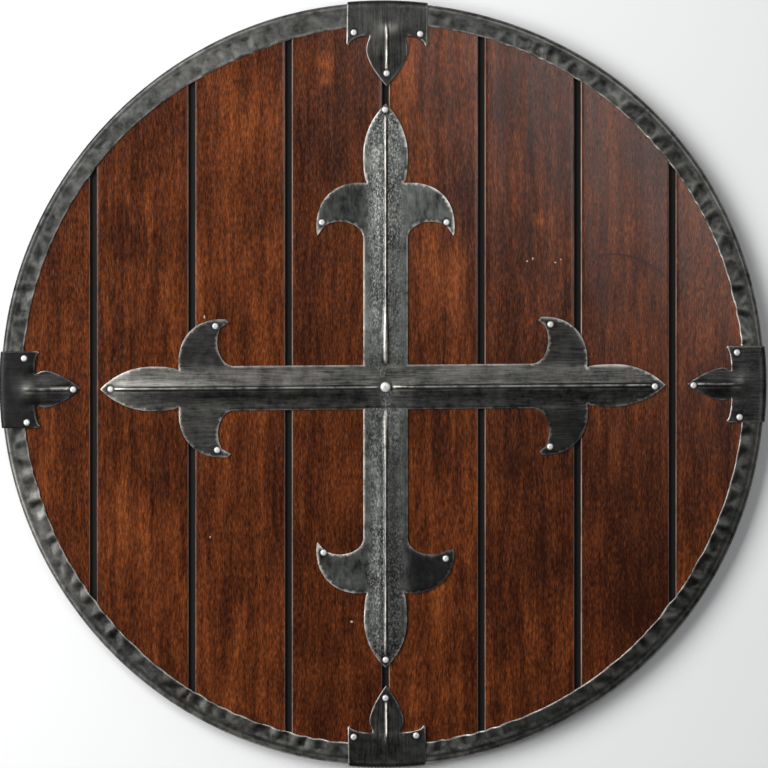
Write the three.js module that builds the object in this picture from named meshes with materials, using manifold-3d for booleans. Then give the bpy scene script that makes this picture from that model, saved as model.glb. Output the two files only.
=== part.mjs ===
// A round wooden shield lying on its back. Eight upright boards, tongued and grooved, fill a
// hoop of folded sheet iron. A cross of two sheet-iron bars with barbed, leaf-shaped ends is
// nailed to the boards, and four iron clips are folded round the hoop and nailed down too.
// Millimetres. +Z is the shield's front, +Y its top, and z = 0 is the surface it lies on.

import * as THREE from 'three';
import { mergeVertices } from 'three/addons/utils/BufferGeometryUtils.js';
import Module from 'manifold-3d';

const wasm = await Module();
wasm.setup();

// Driving sizes.
const GAP = 0.3; // clearance between pieces that touch
const SHEET = 1.2; // sheet iron of the hoop and the clips
const BAR_SHEET = 1.5; // sheet iron of the cross
const BEND = 3; // outside radius of every fold

const HOOP_RADIUS = 300;
const HOOP_FLANGE = 17; // how far the hoop reaches in over the boards, front and back
const HOOP_FACETS = 84;

const BOARD_THICKNESS = 12;
const BOARD_RADIUS = HOOP_RADIUS - BEND - GAP; // the boards stop short of the hoop's folds
const SEAMS = [-227.5, -150.1, -74.2, 2, 77.3, 152.9, 227.3]; // where one board meets the next
const REVEAL = 5; // open groove left between two faces
const REVEAL_DEPTH = 4;
const TONGUE_THICKNESS = 3;
const TONGUE_BITE = 5; // how far the tongue goes into the next board
const ARRIS = 0.6; // chamfer along each face edge

const CROSSING = { x: 2, y: -2.4 }; // where the two bars cross
const BAR_HALF_WIDTH = 17.4;
const BAR_RIDGE = 3.5; // how far the middle of a bar stands above its edges
const BARB_SPREAD = 54.2; // from a bar's middle line to the outside of a barb
const BARB_ROUND = 34.3; // radius of a barb's outside
const LEAF_BASE = 14.6; // half width of a leaf where it leaves the shoulder
const LEAF_WIDEST = 21; // from the shoulder to a leaf's widest place

const CLIP_RADIUS = HOOP_RADIUS + GAP + SHEET;
const CLIP_FACETS = 120;
const CLIP_BACK_LEG = 272; // radius where a clip's back leg ends
const CLIP_FRONT_LEG = 284; // radius where its folded channel is one with its front plate
const CLIP_SHOULDER = 282; // radius where its ridge dies away
const CLIP_EAR_ROOT = 273.5; // radius where its ears meet its leaf
const CLIP_RIDGE = 2.4;
const CLIP_STEP = 4; // how far it takes to step down from the hoop to the boards

const NAIL = { head: 2.7, dome: 1.6, shank: 1, length: 9, facets: 8 };
const RIVET = { head: 4.4, dome: 2.4, shank: 1.8, length: 10, facets: 12 };

// Heights, worked out from the back upwards.
const HOOP_BACK = SHEET + GAP;
const BOARD_BACK = HOOP_BACK + SHEET + GAP;
const BOARD_FACE = BOARD_BACK + BOARD_THICKNESS;
const ON_WOOD = BOARD_FACE + GAP; // underside of iron that lies on the boards
const HOOP_FACE = ON_WOOD + SHEET;
const ON_HOOP = HOOP_FACE + GAP; // underside of iron that lies on the hoop
const CLIP_FACE = ON_HOOP + SHEET;
const CROSSING_LIFT = BAR_SHEET + GAP; // the level bar climbs over the upright one
const RIVET_HEAD = ON_WOOD + CROSSING_LIFT + BAR_SHEET + GAP;
const TONGUE_TOP = BOARD_FACE - REVEAL_DEPTH;
const TONGUE_BOTTOM = TONGUE_TOP - TONGUE_THICKNESS;

// Iron and wood.
const wood = { color: 0x5e2d1a, roughness: 0.45, metalness: 0 };
const hoopIron = { color: 0x55564f, roughness: 0.45, metalness: 0.85 };
const barIron = { color: 0x5c5f5c, roughness: 0.42, metalness: 0.85 };
const clipIron = { color: 0x3a3b38, roughness: 0.5, metalness: 0.85 };
const nailSteel = { color: 0xc9cac4, roughness: 0.3, metalness: 0.9 };

const degrees = THREE.MathUtils.degToRad;

// A closed three.js geometry as a solid that can be joined and cut.
function solidOf(geometry) {
  geometry.deleteAttribute('normal');
  geometry.deleteAttribute('uv');
  const merged = mergeVertices(geometry);
  return new wasm.Manifold(new wasm.Mesh({
    numProp: 3,
    vertProperties: merged.attributes.position.array,
    triVerts: new Uint32Array(merged.index.array),
  }));
}

// A cut solid back as a three.js geometry.
function geometryOf(solid) {
  const cut = solid.getMesh();
  const geometry = new THREE.BufferGeometry();
  geometry.setAttribute('position', new THREE.BufferAttribute(cut.vertProperties, 3));
  geometry.setIndex(new THREE.BufferAttribute(cut.triVerts, 1));
  geometry.computeVertexNormals();
  return geometry;
}

function piece(name, geometry, finish) {
  const mesh = new THREE.Mesh(geometry, new THREE.MeshStandardMaterial(finish));
  mesh.name = name;
  return mesh;
}

// Points along part of an ellipse, both ends included. Angles are in degrees.
function arc(centre, radii, from, to, steps) {
  return Array.from({ length: steps + 1 }, (_, i) => {
    const angle = degrees(from + ((to - from) * i) / steps);
    return new THREE.Vector2(
      centre[0] + radii[0] * Math.cos(angle),
      centre[1] + radii[1] * Math.sin(angle),
    );
  });
}

const mirrored = (points) => points.map((p) => new THREE.Vector2(p.x, -p.y)).reverse();

// An outline drawn on the shield's plane, cut straight down through any height it needs.
function cutter(outline) {
  const reach = 40;
  const geometry = new THREE.ExtrudeGeometry(new THREE.Shape(outline), {
    depth: reach,
    bevelEnabled: false,
  });
  return solidOf(geometry);
}

// A section of radius and height turned round the shield's axis.
function turned(section, facets) {
  return new THREE.LatheGeometry(section, facets).rotateX(Math.PI / 2);
}

// The section of a strip folded like a C: back leg, outside wall and front leg.
function foldedSection({ outside, backInside, frontInside, bottom, top }) {
  const centre = outside - BEND;
  const inner = BEND - SHEET;
  return [
    new THREE.Vector2(backInside, bottom),
    ...arc([centre, bottom + BEND], [BEND, BEND], -90, 0, 2),
    ...arc([centre, top - BEND], [BEND, BEND], 0, 90, 2),
    new THREE.Vector2(frontInside, top),
    new THREE.Vector2(frontInside, top - SHEET),
    ...arc([centre, top - BEND], [inner, inner], 90, 0, 1),
    ...arc([centre, bottom + BEND], [inner, inner], 0, -90, 1),
    new THREE.Vector2(backInside, bottom + SHEET),
    new THREE.Vector2(backInside, bottom),
  ];
}

// A bent sheet. Each station across it has its place along the sheet, the places across, and
// the height of the underside at each of those.
function bentSheet(stations, thickness) {
  const rows = stations.length - 1;
  const columns = stations[0].across.length - 1;
  const block = new THREE.BoxGeometry(1, 1, 1, rows, columns, 1);
  const points = block.attributes.position;
  for (let i = 0; i < points.count; i += 1) {
    const station = stations[Math.round((points.getX(i) + 0.5) * rows)];
    const column = Math.round((points.getY(i) + 0.5) * columns);
    const top = points.getZ(i) > 0 ? thickness : 0;
    points.setXYZ(i, station.along, station.across[column], station.under[column] + top);
  }
  return solidOf(block);
}

// The straight drill that clears a nail or rivet: blind at the bottom, open at the top.
function drill(x, y, headUnderside, kind) {
  const spare = 2;
  const bottom = headUnderside - kind.length - GAP;
  const height = headUnderside + kind.dome + spare - bottom;
  const radius = kind.shank + GAP;
  const bore = new THREE.CylinderGeometry(radius, radius, height, kind.facets);
  bore.rotateX(Math.PI / 2);
  bore.translate(x, y, bottom + height / 2);
  return solidOf(bore);
}

// A domed head on a straight shank. Its origin is the middle of the head's underside.
function nail(name, x, y, headUnderside, kind = NAIL) {
  const section = [
    new THREE.Vector2(0, -kind.length),
    new THREE.Vector2(kind.shank, -kind.length),
    new THREE.Vector2(kind.shank, 0),
    new THREE.Vector2(kind.head, 0),
    ...arc([0, 0], [kind.head, kind.dome], 25, 90, 2).slice(0, -1),
    new THREE.Vector2(0, kind.dome),
  ];
  const mesh = piece(name, turned(section, kind.facets), nailSteel);
  mesh.position.set(x, y, headUnderside);
  mesh.userData.kind = kind;
  return mesh;
}

// One board's section: its face, an arris on each face edge, a tongue on the right and a slot
// for the neighbour's tongue on the left. The two outer boards end at the hoop instead.
function boardSection(left, right) {
  const face = { left: left + REVEAL / 2, right: right - REVEAL / 2 };
  const tongueEnd = right + REVEAL / 2 + TONGUE_BITE;
  const slotEnd = left + REVEAL / 2 + TONGUE_BITE + GAP;
  const section = new THREE.Shape();
  section.moveTo(left + GAP / 2, BOARD_BACK);
  section.lineTo(right - GAP / 2, BOARD_BACK);
  section.lineTo(right - GAP / 2, TONGUE_BOTTOM);
  section.lineTo(tongueEnd, TONGUE_BOTTOM);
  section.lineTo(tongueEnd, TONGUE_TOP);
  section.lineTo(face.right, TONGUE_TOP);
  section.lineTo(face.right, BOARD_FACE - ARRIS);
  section.lineTo(face.right - ARRIS, BOARD_FACE);
  section.lineTo(face.left + ARRIS, BOARD_FACE);
  section.lineTo(face.left, BOARD_FACE - ARRIS);
  section.lineTo(face.left, TONGUE_TOP + GAP);
  section.lineTo(slotEnd, TONGUE_TOP + GAP);
  section.lineTo(slotEnd, TONGUE_BOTTOM - GAP);
  section.lineTo(left + GAP / 2, TONGUE_BOTTOM - GAP);
  return section;
}

function board(index, disc, drills) {
  const pastTheHoop = 2 * BOARD_RADIUS;
  const left = index === 0 ? -pastTheHoop : SEAMS[index - 1];
  const right = index === SEAMS.length ? pastTheHoop : SEAMS[index];
  const length = 2 * HOOP_RADIUS;
  const plank = new THREE.ExtrudeGeometry(boardSection(left, right), {
    depth: length,
    bevelEnabled: false,
  });
  plank.rotateX(Math.PI / 2);
  plank.translate(0, length / 2, 0);
  const cut = solidOf(plank).intersect(disc).subtract(drills);
  return piece(`board_${index + 1}`, geometryOf(cut), wood);
}

function boards(drills) {
  const height = 2 * BOARD_THICKNESS;
  const round = new THREE.CylinderGeometry(BOARD_RADIUS, BOARD_RADIUS, height, HOOP_FACETS);
  round.rotateX(Math.PI / 2);
  round.translate(0, 0, BOARD_BACK + BOARD_THICKNESS / 2);
  const disc = solidOf(round);
  return Array.from({ length: SEAMS.length + 1 }, (_, index) => board(index, disc, drills));
}

// The hoop. A clip nail that stands close to its inner edge bites into it.
function hoop(drills) {
  const section = foldedSection({
    outside: HOOP_RADIUS,
    backInside: HOOP_RADIUS - HOOP_FLANGE,
    frontInside: HOOP_RADIUS - HOOP_FLANGE,
    bottom: HOOP_BACK,
    top: HOOP_FACE,
  });
  const ring = solidOf(turned(section, HOOP_FACETS)).subtract(drills);
  return piece('rim_hoop', geometryOf(ring), hoopIron);
}

// A barb from its root in the bar, round its hollow side to the point and back round its
// outside to the shoulder. Places run along the bar from the crossing, then across it.
function barb({ point }, shoulder, pointAcross) {
  const hollow = { centre: [shoulder - 43.5, BAR_HALF_WIDTH + 18.5], radii: [13, 18.5] };
  const outside = [shoulder - BARB_ROUND, BARB_SPREAD - BARB_ROUND];
  const atPoint = THREE.MathUtils.radToDeg(Math.acos((point - outside[0]) / BARB_ROUND));
  return [
    ...arc(hollow.centre, hollow.radii, -90, 40, 7),
    new THREE.Vector2(point, pointAcross),
    ...arc(outside, [BARB_ROUND, BARB_ROUND], atPoint - 4, -9, 8),
  ];
}

// One side of the leaf beyond the shoulder: a short swelling, then a pointed arch to the tip.
function leafSide({ shoulder, tip, leafHalf }) {
  const widest = shoulder + LEAF_WIDEST;
  const length = tip - widest;
  const archRadius = (leafHalf ** 2 + length ** 2) / (2 * leafHalf);
  const archAngle = THREE.MathUtils.radToDeg(Math.asin(length / archRadius));
  const archCentre = [widest, leafHalf - archRadius];
  const swelling = [LEAF_WIDEST - 1, leafHalf - LEAF_BASE];
  return [
    ...arc([widest, LEAF_BASE], swelling, 178, 90, 3).slice(0, -1),
    ...arc(archCentre, [archRadius, archRadius], 90, 90 - archAngle, 6),
  ];
}

// One end of a bar. Its first barb is on the side that is left of someone looking out along
// the bar.
function barEnd(end, pointAcross) {
  const leaf = leafSide(end);
  return [
    ...barb(end.barbs[0], end.shoulder, pointAcross),
    ...leaf,
    ...mirrored(leaf).slice(1),
    ...mirrored(barb(end.barbs[1], end.shoulder, pointAcross)),
  ];
}

// How the ridge dies away towards a leaf's nail: how far short of the nail, the half width
// there, and the share of the ridge's height that is left.
const RIDGE_END = [
  { short: 16, half: 13.5, left: 0.85 },
  { short: 7, half: 9.5, left: 0.5 },
  { short: 3.4, half: 7.5, left: 0 },
];

// How wide and how high the ridged middle of a bar is at places along one arm. The ridge rises
// from the flat that the rivet goes through, and an arm that is lifted over the other bar comes
// down to the boards beyond it.
function ridgeStations(end, flatUntil, lift) {
  const full = flatUntil + 8;
  const clearOfOther = BAR_HALF_WIDTH + 3;
  const downAgain = clearOfOther + 16;
  const half = BAR_HALF_WIDTH;
  const ridge = BAR_RIDGE;
  return [
    { along: flatUntil, half, ridge: 0, lift },
    { along: full, half, ridge, lift },
    ...(lift > 0 ? [{ along: clearOfOther, half, ridge, lift }] : []),
    ...(lift > 0 ? [{ along: downAgain, half, ridge, lift: 0 }] : []),
    { along: end.shoulder, half: LEAF_BASE, ridge, lift: 0 },
    { along: end.shoulder + LEAF_WIDEST, half: end.leafHalf, ridge, lift: 0 },
    ...RIDGE_END.map(({ short, half: narrowed, left }) => (
      { along: end.nail[0] - short, half: narrowed, ridge: ridge * left, lift: 0 })),
    { along: end.tip + 2, half: 1, ridge: 0, lift: 0 },
  ];
}

function sheetStation({ along, half, ridge, lift }, direction) {
  const edge = BARB_SPREAD + 4;
  const under = ON_WOOD + lift;
  return {
    along: along * direction,
    across: [-edge, -half, 0, half, edge],
    under: [under, under, under + ridge, under, under],
  };
}

// A whole bar lying along X, with the crossing at its origin, and its six end nails.
function bar(name, ends, { flatUntil, lift, pointAcross }) {
  const stations = [
    ...ridgeStations(ends.minus, flatUntil, lift).reverse().map((s) => sheetStation(s, -1)),
    ...ridgeStations(ends.plus, flatUntil, lift).map((s) => sheetStation(s, 1)),
  ];
  const outline = [
    ...barEnd(ends.plus, pointAcross),
    ...barEnd(ends.minus, pointAcross).map((p) => new THREE.Vector2(-p.x, -p.y)),
  ];
  const head = ON_WOOD + BAR_SHEET + GAP;
  const group = new THREE.Group();
  for (const [direction, end] of [[1, ends.plus], [-1, ends.minus]]) {
    const prefix = `nail_${name}_${end.name}`;
    group.add(nail(`${prefix}_tip`, direction * end.nail[0], direction * end.nail[1], head));
    end.barbs.forEach((point, order) => {
      const across = order === 0 ? point.nail[1] : -point.nail[1];
      group.add(nail(`${prefix}_${point.side}`, direction * point.nail[0], direction * across, head));
    });
  }
  let sheet = bentSheet(stations, BAR_SHEET).intersect(cutter(outline));
  for (const { position } of group.children) {
    sheet = sheet.subtract(drill(position.x, position.y, position.z, NAIL));
  }
  sheet = sheet.subtract(drill(0, 0, RIVET_HEAD, RIVET));
  group.add(piece(`cross_${name}_bar`, geometryOf(sheet), barIron));
  group.position.set(CROSSING.x, CROSSING.y, 0);
  return group;
}

// The ends of the two bars, cut and nailed by hand, so no two are quite alike. A nail's place
// runs along the bar from the crossing, then across it.
const UPRIGHT_ENDS = {
  plus: {
    name: 'top',
    shoulder: 160.4,
    tip: 222.4,
    leafHalf: 17.5,
    nail: [217.7, 0.3],
    barbs: [
      { side: 'left', point: 119.1, nail: [129.3, 49.9] },
      { side: 'right', point: 118.9, nail: [129.3, 48] },
    ],
  },
  minus: {
    name: 'bottom',
    shoulder: 162,
    tip: 220.2,
    leafHalf: 16.8,
    nail: [214.1, 0.2],
    barbs: [
      { side: 'right', point: 127.5, nail: [134.6, 47.3] },
      { side: 'left', point: 121.9, nail: [129.9, 48.6] },
    ],
  },
};
const LEVEL_ENDS = {
  plus: {
    name: 'right',
    shoulder: 158.6,
    tip: 219.8,
    leafHalf: 16.5,
    nail: [211.5, -1.1],
    barbs: [
      { side: 'upper', point: 120.4, nail: [129.9, 48.2] },
      { side: 'lower', point: 120.3, nail: [128.8, 47.7] },
    ],
  },
  minus: {
    name: 'left',
    shoulder: 162.4,
    tip: 224,
    leafHalf: 17.4,
    nail: [215.8, 0],
    barbs: [
      { side: 'lower', point: 121.8, nail: [132.5, 48.4] },
      { side: 'upper', point: 122.8, nail: [133.2, 48.9] },
    ],
  },
};

// The cross: the upright bar lies on the boards, and the level one climbs over it. One rivet
// goes through both.
function cross() {
  const upright = bar('upright', UPRIGHT_ENDS, { flatUntil: 20, lift: 0, pointAcross: 53.4 });
  upright.rotation.z = Math.PI / 2;
  const level = bar('level', LEVEL_ENDS, { flatUntil: 6, lift: CROSSING_LIFT, pointAcross: 51.5 });
  level.rotation.z = degrees(0.45);
  const group = new THREE.Group();
  group.add(upright, level, nail('centre_rivet', CROSSING.x, CROSSING.y, RIVET_HEAD, RIVET));
  return group;
}

// The part of a clip seen from the front: two pointed ears and the leaf between them. Places
// run across the clip and out from the shield's middle.
function clipOutline({ half, leafHalf, leafTip, earTip }) {
  const hidden = CLIP_FRONT_LEG + 3; // lost in the folded channel
  const base = leafHalf - 2.2;
  const widest = leafTip + 28;
  const earWidth = half - base - 1.6;
  const steps = 6;
  const leafCurve = Array.from({ length: steps + 1 }, (_, i) => {
    const along = i / steps;
    return new THREE.Vector2(leafHalf * (1 - along ** 1.6), widest - (widest - leafTip) * along);
  });
  const rightHalf = [
    new THREE.Vector2(half, hidden),
    new THREE.Vector2(half, earTip + 1.5),
    ...arc([base, earTip], [earWidth, CLIP_EAR_ROOT - earTip], 0, 90, 4),
    new THREE.Vector2(base, CLIP_EAR_ROOT - 1.5),
    new THREE.Vector2(leafHalf - 0.5, (CLIP_EAR_ROOT + widest) / 2 - 1),
    ...leafCurve,
  ];
  const leftHalf = rightHalf.slice(0, -1).reverse().map((p) => new THREE.Vector2(-p.x, p.y));
  return [...rightHalf, ...leftHalf];
}

// The front plate lies on the hoop, then steps down on to the boards just inside the ear
// nails, and its leaf has a ridge that ends before the leaf's nail.
function clipPlate({ half, leafHalf, leafTip, leafNail, earNails }) {
  const stepTop = Math.min(...earNails.map((place) => place[1])) - NAIL.head - 0.5;
  const station = (along, ridge, under) => ({
    along,
    across: [-half - 2, -leafHalf, 0, leafHalf, half + 2],
    under: [under, under, under + ridge, under, under],
  });
  const stations = [
    station(leafTip - 3, 0, ON_WOOD),
    station(leafNail + 3.2, 0, ON_WOOD),
    station(leafNail + 8, CLIP_RIDGE, ON_WOOD),
    station(stepTop - CLIP_STEP, CLIP_RIDGE, ON_WOOD),
    station(stepTop, CLIP_RIDGE, ON_HOOP),
    station(CLIP_SHOULDER, 0, ON_HOOP),
    station(CLIP_FRONT_LEG + 4, 0, ON_HOOP),
  ];
  return bentSheet(stations, SHEET).rotate([0, 0, 90]).mirror([1, 0, 0]);
}

// A clip at the shield's top, before it is turned to its place, and its three nails.
function clip(clipSizes, channel) {
  const { name, turn, half, leafNail, leafNailAcross, earNails } = clipSizes;
  const group = new THREE.Group();
  const earHead = CLIP_FACE + GAP;
  const leafHead = ON_WOOD + SHEET + GAP;
  const [left, right] = earNails;
  group.add(nail(`nail_clip_${name}_first`, left[0], left[1], earHead));
  group.add(nail(`nail_clip_${name}_second`, right[0], right[1], earHead));
  group.add(nail(`nail_clip_${name}_leaf`, leafNailAcross, leafNail, leafHead));
  const longEnough = 60;
  const strip = new THREE.BoxGeometry(2 * half, longEnough, longEnough);
  strip.translate(0, CLIP_FRONT_LEG, 0);
  const front = clipPlate(clipSizes).intersect(cutter(clipOutline(clipSizes)));
  let sheet = channel.intersect(solidOf(strip)).add(front);
  for (const { position } of group.children) {
    sheet = sheet.subtract(drill(position.x, position.y, position.z, NAIL));
  }
  group.add(piece(`clip_${name}`, geometryOf(sheet), clipIron));
  group.rotation.z = degrees(turn);
  return group;
}

function clips() {
  const channel = solidOf(turned(foldedSection({
    outside: CLIP_RADIUS,
    backInside: CLIP_BACK_LEG,
    frontInside: CLIP_FRONT_LEG,
    bottom: 0,
    top: CLIP_FACE,
  }), CLIP_FACETS));
  const sizes = [
    {
      name: 'top', turn: -0.68, half: 31.7, leafHalf: 16.2, leafTip: 233.9, earTip: 265.5,
      earNails: [[-26.1, 275.5], [26, 274.9]], leafNail: 243.9, leafNailAcross: 0,
    },
    {
      name: 'left', turn: 90.88, half: 30.1, leafHalf: 14.5, leafTip: 237.2, earTip: 269.5,
      earNails: [[-25.9, 279.9], [24.4, 281.2]], leafNail: 243.2, leafNailAcross: -0.6,
    },
    {
      name: 'bottom', turn: 180.61, half: 30.4, leafHalf: 13.4, leafTip: 236.7, earTip: 268,
      earNails: [[-23.1, 276], [25.9, 276.6]], leafNail: 246.5, leafNailAcross: 0.6,
    },
    {
      name: 'right', turn: 270, half: 30, leafHalf: 13, leafTip: 239.2, earTip: 269.5,
      earNails: [[-24.7, 277.8], [26, 279.8]], leafNail: 243.8, leafNailAcross: 1,
    },
  ];
  return sizes.map((clipSizes) => clip(clipSizes, channel));
}

// Every nail and rivet hole, as the boards need them.
function holesFor(ironwork) {
  ironwork.updateMatrixWorld(true);
  const place = new THREE.Vector3();
  let holes = null;
  ironwork.traverse((mesh) => {
    if (!mesh.userData.kind) return;
    mesh.getWorldPosition(place);
    const hole = drill(place.x, place.y, place.z, mesh.userData.kind);
    holes = holes ? holes.add(hole) : hole;
  });
  return holes;
}

const shield = new THREE.Group();
shield.add(cross(), ...clips());
const drills = holesFor(shield);
shield.add(hoop(drills), ...boards(drills));

export default shield;
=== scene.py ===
import math

import bmesh
import bpy
import numpy as np
from mathutils import Matrix, Vector, geometry, noise


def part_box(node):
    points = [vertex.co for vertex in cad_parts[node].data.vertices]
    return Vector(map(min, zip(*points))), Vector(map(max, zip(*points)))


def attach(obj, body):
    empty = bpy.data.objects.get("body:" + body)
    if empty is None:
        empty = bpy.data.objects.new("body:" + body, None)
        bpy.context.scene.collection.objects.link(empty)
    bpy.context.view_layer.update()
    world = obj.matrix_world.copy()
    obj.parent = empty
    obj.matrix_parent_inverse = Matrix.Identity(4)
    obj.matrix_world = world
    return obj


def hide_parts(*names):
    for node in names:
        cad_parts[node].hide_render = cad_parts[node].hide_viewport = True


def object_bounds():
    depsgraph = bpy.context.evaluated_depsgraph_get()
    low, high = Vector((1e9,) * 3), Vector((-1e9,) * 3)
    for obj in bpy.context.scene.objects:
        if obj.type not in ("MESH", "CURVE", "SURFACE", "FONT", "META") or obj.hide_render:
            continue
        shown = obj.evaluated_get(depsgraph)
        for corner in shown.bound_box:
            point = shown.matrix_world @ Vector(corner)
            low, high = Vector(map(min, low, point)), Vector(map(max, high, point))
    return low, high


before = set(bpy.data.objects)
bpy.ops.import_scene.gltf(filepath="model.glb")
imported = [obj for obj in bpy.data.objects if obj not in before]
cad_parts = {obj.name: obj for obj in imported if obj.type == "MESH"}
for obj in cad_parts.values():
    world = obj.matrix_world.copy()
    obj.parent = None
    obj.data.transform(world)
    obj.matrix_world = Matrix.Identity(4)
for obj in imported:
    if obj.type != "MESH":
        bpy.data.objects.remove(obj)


# ---------------------------------------------------------------------------------------------
# The studio. The shield lies on its back on a pale floor, its top towards the top of the view,
# and the camera hangs straight above it on a long lens. Soft boxes stand to its left and above.

MM = 0.001
cad_low, cad_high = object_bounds()
hoop_low, hoop_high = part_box("rim_hoop")
middle = (cad_low + cad_high) / 2


def shown(name, data):
    """A new object of this name and data, put in the scene."""
    made = bpy.data.objects.new(name, data)
    bpy.context.scene.collection.objects.link(made)
    return made


CAMERA_HEIGHT = 2.6
CAMERA_ASIDE = 0.8 * MM
SENSOR = 36
lens = bpy.data.cameras.new("camera_lens")
lens.sensor_width = SENSOR
lens.lens = SENSOR * CAMERA_HEIGHT / (cad_high.x - cad_low.x)
camera = shown("camera", lens)
camera.location = (middle.x + CAMERA_ASIDE, middle.y, hoop_high.z + CAMERA_HEIGHT)
bpy.context.scene.camera = camera
bpy.context.scene.view_settings.view_transform = "Standard"


def node(tree, kind, inputs=None, **settings):
    """One node, its settings made and its inputs set to values or joined to other nodes."""
    made = tree.nodes.new(kind)
    for name, value in settings.items():
        setattr(made, name, value)
    for name, value in (inputs or {}).items():
        value = getattr(value, "socket", value)
        if isinstance(value, bpy.types.NodeSocket):
            tree.links.new(value, made.inputs[name])
        else:
            made.inputs[name].default_value = value
    return made


def new_finish(name):
    """An empty material, its tree and its surface shader."""
    material = bpy.data.materials.new(name)
    material.use_nodes = True
    return material, material.node_tree, material.node_tree.nodes["Principled BSDF"]


def plain_finish(name, colour, roughness, specular=0.5):
    """A material of one even colour."""
    material, _, shader = new_finish(name)
    shader.inputs["Base Color"].default_value = (*colour, 1)
    shader.inputs["Roughness"].default_value = roughness
    shader.inputs["Specular IOR Level"].default_value = specular
    return material


FLOOR_DROP = 0.4 * MM
floor_mesh = bpy.data.meshes.new("studio_floor")
floor_mesh.from_pydata([(-4, -4, 0), (4, -4, 0), (4, 4, 0), (-4, 4, 0)], [], [(0, 1, 2, 3)])
floor = shown("studio_floor", floor_mesh)
floor.location.z = cad_low.z - FLOOR_DROP
floor_mesh.materials.append(plain_finish("pale_floor", (0.9, 0.9, 0.9), 0.9))


def soft_box(name, place, size, power):
    """A square studio light that looks at the shield's middle."""
    light = bpy.data.lights.new(name, "AREA")
    light.shape = "RECTANGLE"
    light.size, light.size_y = size
    light.energy = power
    lamp = shown(name, light)
    lamp.location = place
    lamp.rotation_euler = (middle - Vector(place)).to_track_quat("-Z", "Y").to_euler()


soft_box("left_box", (-1.2, 0.45, 1.4), (1.9, 1.3), 46)
soft_box("top_box", (0.62, 0.66, 2.9), (0.9, 0.9), 12)
room = bpy.data.worlds.new("studio_room")
room.use_nodes = True
ceiling = node(room.node_tree, "ShaderNodeSeparateXYZ", {
    0: node(room.node_tree, "ShaderNodeTexCoord").outputs["Generated"],
})
room_light = node(room.node_tree, "ShaderNodeMapRange", {
    "Value": ceiling.outputs[2],
    "From Min": 0.25,
    "From Max": 0.80,
    "To Min": 0.45,
    "To Max": 0.08,
})
room.node_tree.links.new(room_light.outputs[0], room.node_tree.nodes["Background"].inputs["Strength"])
room.node_tree.nodes["Background"].inputs["Color"].default_value = (0.75, 0.78, 0.8, 1)
bpy.context.scene.world = room


# ---------------------------------------------------------------------------------------------
# The eight boards: reddish-brown hardwood under a satin varnish, planed by hand. Each has a
# tongue on its right edge and a slot on its left one, and a dark open groove is left between
# two faces. The hoop holds their ends.

BOARD_COUNT = 8
REVEAL = 5.0
ARRIS = 1.0
ARRIS_STEPS = 4
FACE_STEP = 2.2
BOARD_STATIONS = 150
SLOT_GAP = 0.3
TONGUE_BITE = 5.0
board_radius = hoop_high.x / MM - 3.3
board_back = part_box("board_4")[0].z / MM
board_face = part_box("board_4")[1].z / MM
TONGUE_TOP = board_face - 4.0
TONGUE_FOOT = TONGUE_TOP - 3.0
GROOVE_WALL = 1.4
BACK_STEPS = 14
FACE_SUNK = 0.2
RIGHT_ARRIS_PALENESS = 0.3


def arris_bend(corner, side):
    """A worn, rounded edge: a quarter circle under the face's right (1) or left (-1) corner."""
    x, z = corner
    turns = [math.radians(90 * step / ARRIS_STEPS) for step in range(ARRIS_STEPS + 1)]
    bend = [(x - side * ARRIS * (1 - math.sin(a)), z - ARRIS * (1 - math.cos(a))) for a in turns]
    return bend[::-side]


def board_section(left, right, first, last):
    """The outline of a board's cross section, from its back round to its face and back."""
    across = board_radius - 0.3
    face_left = left + REVEAL / 2 if not first else -across
    face_right = right - REVEAL / 2 if not last else across
    back_left = left + SLOT_GAP / 2 if not first else -across
    back_right = right - SLOT_GAP / 2 if not last else across
    section = [
        (back_left + (back_right - back_left) * step / BACK_STEPS, board_back)
        for step in range(BACK_STEPS + 1)
    ]
    if not last:
        tongue_end = right + REVEAL / 2 + TONGUE_BITE
        section += [(back_right, TONGUE_FOOT), (tongue_end, TONGUE_FOOT), (tongue_end, TONGUE_TOP)]
        section += [(right, TONGUE_TOP), (face_right, TONGUE_TOP), (face_right, TONGUE_TOP + GROOVE_WALL)]
    section += arris_bend((face_right, board_face), 1)
    face_width = face_right - face_left - 2 * ARRIS
    steps = max(2, round(face_width / FACE_STEP))
    section += [(face_right - ARRIS - face_width * step / steps, board_face) for step in range(1, steps)]
    section += arris_bend((face_left, board_face), -1)
    if not first:
        slot_end = left + REVEAL / 2 + TONGUE_BITE + SLOT_GAP
        section += [(face_left, TONGUE_TOP + GROOVE_WALL), (face_left, TONGUE_TOP + SLOT_GAP)]
        section += [(slot_end, TONGUE_TOP + SLOT_GAP), (slot_end, TONGUE_FOOT - SLOT_GAP)]
        section += [(back_left, TONGUE_FOOT - SLOT_GAP)]
    return section


def hand_planed(x, y, board):
    """How far the face of a board lies off flat, from its planing and its age."""
    broad = noise.noise(Vector((x / 34, y / 120, 3.1 * board)))
    tracks = noise.noise(Vector((x / 9, y / 55, 7.7 * board)))
    return 0.16 * broad + 0.05 * tracks


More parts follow.
